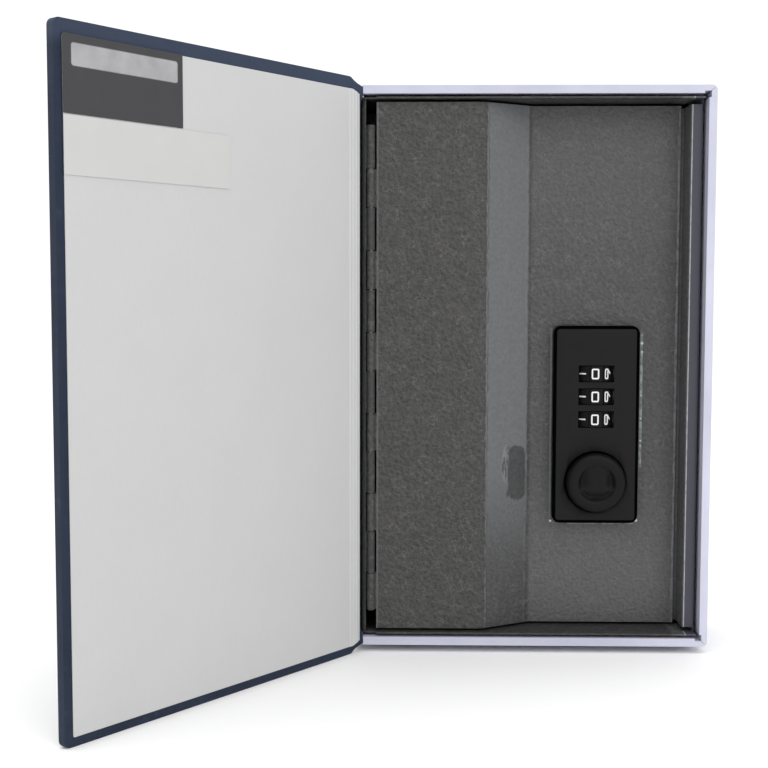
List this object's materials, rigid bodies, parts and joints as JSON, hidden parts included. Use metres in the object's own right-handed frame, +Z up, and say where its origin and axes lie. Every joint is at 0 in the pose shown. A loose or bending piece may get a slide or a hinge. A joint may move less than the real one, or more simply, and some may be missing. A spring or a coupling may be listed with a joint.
{
  "type": "book diversion safe",
  "caption": "Hardback book case whose page block is a steel strongbox with a hinged door, combination dials, a latch knob and white page strips.",
  "frame": {"origin": "middle of the back cover's bottom edge, where the closed book's width is centred and the back board is halfway through its thickness", "axes": "+Z up along the standing book, -Y the side that the strongbox door faces, +X towards the fore edge"},
  "size_m": [0.2468, 0.1696, 0.24],
  "materials": {
    "cloth": "navy book cloth with a fine weave",
    "greyboard": "raw greyboard",
    "endpaper": "matt pale grey paper",
    "dark_card": "smooth dark card with a pale bar",
    "sticker": "satin pale label paper",
    "page_strip": "white, grooved like page edges",
    "hammertone_paint": "dark grey hammertone paint",
    "bare_steel": "plain steel",
    "zinc": "cast zinc, satin",
    "brass": "stamped brass",
    "black_plastic": "moulded black plastic with a light grain",
    "dial_plastic": "black with plain white numbers"
  },
  "bodies": {
    "case": {"case_cloth": "cloth", "back_board": "greyboard", "back_endpaper": "endpaper", "spine_board": "greyboard", "page_strip_fore_edge": "page_strip", "page_strip_head": "page_strip", "page_strip_tail": "page_strip", "box_body": "hammertone_paint", "box_end_wall_head": "hammertone_paint", "box_end_wall_tail": "hammertone_paint", "hinge_pin": "bare_steel"},
    "cover": {"front_cloth": "cloth", "front_board": "greyboard", "front_endpaper": "endpaper", "front_joint_lining": "endpaper", "front_joint_cloth": "cloth", "label_card": "dark_card", "blank_sticker": "sticker"},
    "door": {"door_plate": "hammertone_paint", "lock_front_plate": "black_plastic", "lock_housing": "black_plastic", "lock_back_cover": "zinc", "dial_axle": "bare_steel", "detent_spring": "bare_steel", "lock_screw_1": "bare_steel", "lock_screw_2": "bare_steel", "lock_screw_3": "bare_steel", "lock_screw_4": "bare_steel"},
    "dial_1": {"dial_wheel_1": "dial_plastic", "code_ring_1": "brass"},
    "dial_2": {"dial_wheel_2": "dial_plastic", "code_ring_2": "brass"},
    "dial_3": {"dial_wheel_3": "dial_plastic", "code_ring_3": "brass"},
    "latch": {"knob": "black_plastic", "latch_rotor": "zinc", "latch_cam": "bare_steel", "cam_washer": "bare_steel", "cam_nut": "bare_steel"},
    "gate": {"gate_plate": "brass"},
    "reset": {"reset_slider": "black_plastic"}
  },
  "joints": [
    {"name": "cover_hinge", "type": "hinge", "parent": "case", "child": "cover", "pos_m": [-0.0741, -0.0495, 0.12], "axis": [0, 0, -1], "range_deg": [-128, 52], "deforming": ["front_joint_cloth", "front_joint_lining"]},
    {"name": "door_hinge", "type": "hinge", "parent": "case", "child": "door", "pos_m": [-0.06935, -0.0467, 0.12], "axis": [0, 0, -1], "range_deg": [0, 115]},
    {"name": "dial_1_turn", "type": "hinge", "parent": "door", "child": "dial_1", "pos_m": [0.02635, -0.03, 0.1176], "axis": [0, 0, 1], "continuous": true},
    {"name": "dial_2_turn", "type": "hinge", "parent": "door", "child": "dial_2", "pos_m": [0.02635, -0.03, 0.10785], "axis": [0, 0, 1], "continuous": true},
    {"name": "dial_3_turn", "type": "hinge", "parent": "door", "child": "dial_3", "pos_m": [0.02635, -0.03, 0.0981], "axis": [0, 0, 1], "continuous": true},
    {"name": "knob_turn", "type": "hinge", "parent": "door", "child": "latch", "pos_m": [0.02635, -0.04, 0.0713], "axis": [0, -1, 0], "range_deg": [0, 90]},
    {"name": "gate_slide", "type": "slide", "parent": "door", "child": "gate", "axis": [1, 0, 0], "range_m": [-0.0018, 0], "stiffness_N_per_m": 60},
    {"name": "reset_slide", "type": "slide", "parent": "door", "child": "reset", "axis": [1, 0, 0], "range_m": [0, 0.004]}
  ]
}
